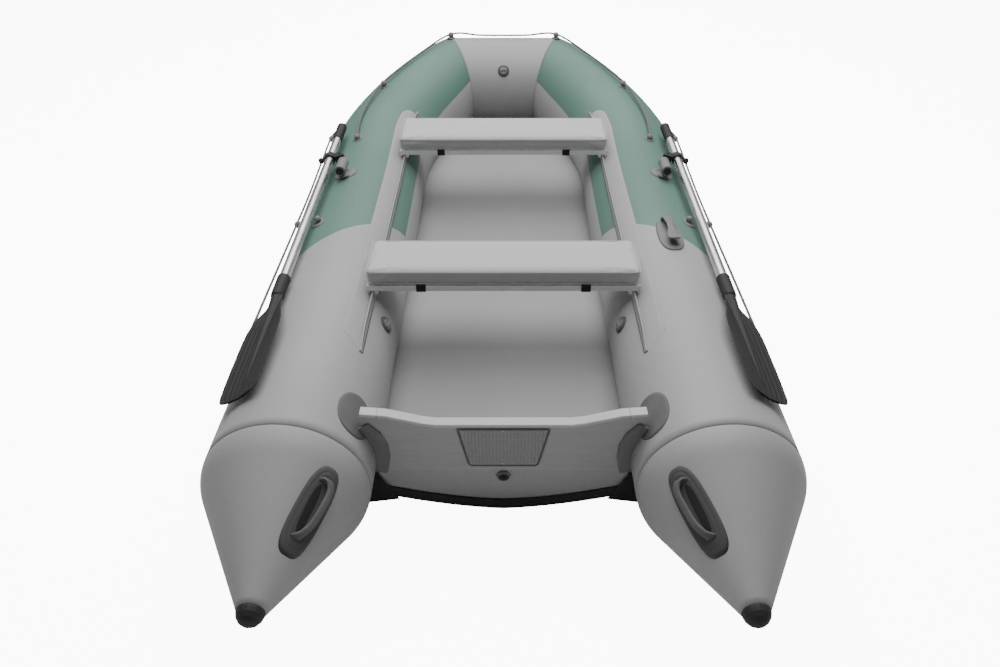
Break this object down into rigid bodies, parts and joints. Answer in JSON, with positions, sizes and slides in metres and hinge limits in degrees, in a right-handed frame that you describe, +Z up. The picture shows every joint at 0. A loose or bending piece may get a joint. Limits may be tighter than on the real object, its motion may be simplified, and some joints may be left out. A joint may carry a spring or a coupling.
{
  "type": "inflatable transom tender",
  "caption": "Inflatable transom dinghy with cone-ended side tubes, raised bow, air floor, sliding bench seats, stowed pivoting oars and lifelines.",
  "frame": {"origin": "on the ground plane under the middle of the hull, between the stern cones' ends and the bow tube's front", "axes": "+Y forward to the bow, +X to starboard, +Z up"},
  "size_m": [1.5884, 3.315, 0.6232],
  "materials": {
    "hull_fabric_grey": "semi-matte coated fabric",
    "hull_fabric_green": "semi-matte coated fabric",
    "dark_rubber": "matte moulded",
    "black_plastic": "satin moulded",
    "painted_plywood": "painted",
    "oar_aluminium": "satin anodised",
    "cushion_cover": "coated cover",
    "black_webbing": "woven"
  },
  "bodies": {
    "hull": {"air_floor": "hull_fabric_grey", "anchor_hook": "dark_rubber", "bottom_skin": "hull_fabric_grey", "bow_lifeline": "black_webbing", "bow_tube": "hull_fabric_grey", "bow_valve": "black_plastic", "drain_socket": "black_plastic", "keel_strip": "dark_rubber", "port_bow_quarter": "hull_fabric_green", "port_carry_handle": "dark_rubber", "port_cone_cap": "black_plastic", "port_lifeline": "black_webbing", "port_oar_cleat": "dark_rubber", "port_oarlock_base": "dark_rubber", "port_rub_strake": "dark_rubber", "port_seat_rail": "hull_fabric_grey", "port_side_tube": "hull_fabric_grey", "port_stern_cone": "hull_fabric_grey", "port_transom_bracket": "dark_rubber", "port_valve": "black_plastic", "starboard_bow_quarter": "hull_fabric_green", "starboard_carry_handle": "dark_rubber", "starboard_cone_cap": "black_plastic", "starboard_lifeline": "black_webbing", "starboard_oar_cleat": "dark_rubber", "starboard_oarlock_base": "dark_rubber", "starboard_rub_strake": "dark_rubber", "starboard_seat_rail": "hull_fabric_grey", "starboard_side_tube": "hull_fabric_grey", "starboard_stern_cone": "hull_fabric_grey", "starboard_transom_bracket": "dark_rubber", "starboard_valve": "black_plastic", "transom_board": "painted_plywood", "transom_cap": "black_plastic", "transom_plate": "black_plastic"},
    "starboard_lock_fork": {"starboard_oar_bracket": "black_plastic"},
    "starboard_oar": {"starboard_oar_collar": "black_plastic", "starboard_oar_shaft": "oar_aluminium", "starboard_oar_grip": "black_plastic", "starboard_oar_blade": "black_plastic"},
    "starboard_knob": {"starboard_collar_knob": "black_plastic"},
    "port_lock_fork": {"port_oar_bracket": "black_plastic"},
    "port_oar": {"port_oar_collar": "black_plastic", "port_oar_shaft": "oar_aluminium", "port_oar_grip": "black_plastic", "port_oar_blade": "black_plastic"},
    "port_knob": {"port_collar_knob": "black_plastic"},
    "rear_seat": {"rear_seat_board": "painted_plywood", "rear_seat_cushion": "cushion_cover", "rear_port_seat_strap": "black_webbing", "rear_starboard_seat_strap": "black_webbing"},
    "front_seat": {"front_seat_board": "painted_plywood", "front_seat_cushion": "cushion_cover", "front_port_seat_strap": "black_webbing", "front_starboard_seat_strap": "black_webbing"},
    "starboard_valve_lid": {"starboard_valve_cap": "black_plastic"},
    "port_valve_lid": {"port_valve_cap": "black_plastic"},
    "bow_valve_lid": {"bow_valve_cap": "black_plastic"},
    "drain_stopper": {"drain_plug": "black_plastic"}
  },
  "joints": [
    {"name": "starboard_oar_tip", "type": "hinge", "parent": "hull", "child": "starboard_lock_fork", "pos_m": [0.63, 0.1925, 0.4731], "axis": [0, -1, 0], "range_deg": [0, 18]},
    {"name": "starboard_oar_swing", "type": "hinge", "parent": "starboard_lock_fork", "child": "starboard_oar", "pos_m": [0.65503, 0.2745, 0.47787], "axis": [0.2588, 0, 0.9659], "range_deg": [0, 130]},
    {"name": "starboard_knob_turn", "type": "hinge", "parent": "starboard_oar", "child": "starboard_knob", "pos_m": [0.72043, 0.2745, 0.46035], "axis": [0.9659, 0, -0.2588], "continuous": true},
    {"name": "port_oar_tip", "type": "hinge", "parent": "hull", "child": "port_lock_fork", "pos_m": [-0.63, 0.1925, 0.4731], "axis": [0, 1, 0], "range_deg": [0, 18]},
    {"name": "port_oar_swing", "type": "hinge", "parent": "port_lock_fork", "child": "port_oar", "pos_m": [-0.65503, 0.2745, 0.47787], "axis": [0.2588, 0, -0.9659], "range_deg": [0, 130]},
    {"name": "port_knob_turn", "type": "hinge", "parent": "port_oar", "child": "port_knob", "pos_m": [-0.72043, 0.2745, 0.46035], "axis": [0.9659, 0, 0.2588], "continuous": true},
    {"name": "rear_seat_slide", "type": "slide", "parent": "hull", "child": "rear_seat", "axis": [0, 1, 0], "range_m": [-0.2, 0.3]},
    {"name": "front_seat_slide", "type": "slide", "parent": "hull", "child": "front_seat", "axis": [0, 0.999, 0.045], "range_m": [-0.2, 0.01]},
    {"name": "starboard_valve_turn", "type": "hinge", "parent": "hull", "child": "starboard_valve_lid", "pos_m": [0.37308, -0.6455, 0.31604], "axis": [-0.8988, 0, 0.4384], "range_deg": [0, 90]},
    {"name": "port_valve_turn", "type": "hinge", "parent": "hull", "child": "port_valve_lid", "pos_m": [-0.37308, -0.6455, 0.31604], "axis": [0.8988, 0, 0.4384], "range_deg": [0, 90]},
    {"name": "bow_valve_turn", "type": "hinge", "parent": "hull", "child": "bow_valve_lid", "pos_m": [0, 1.25458, 0.49623], "axis": [0, -0.8315, 0.5556], "range_deg": [0, 90]},
    {"name": "drain_turn", "type": "hinge", "parent": "hull", "child": "drain_stopper", "pos_m": [0, -1.12611, 0.142], "axis": [0, -0.9945, -0.1044], "range_deg": [0, 90]}
  ]
}
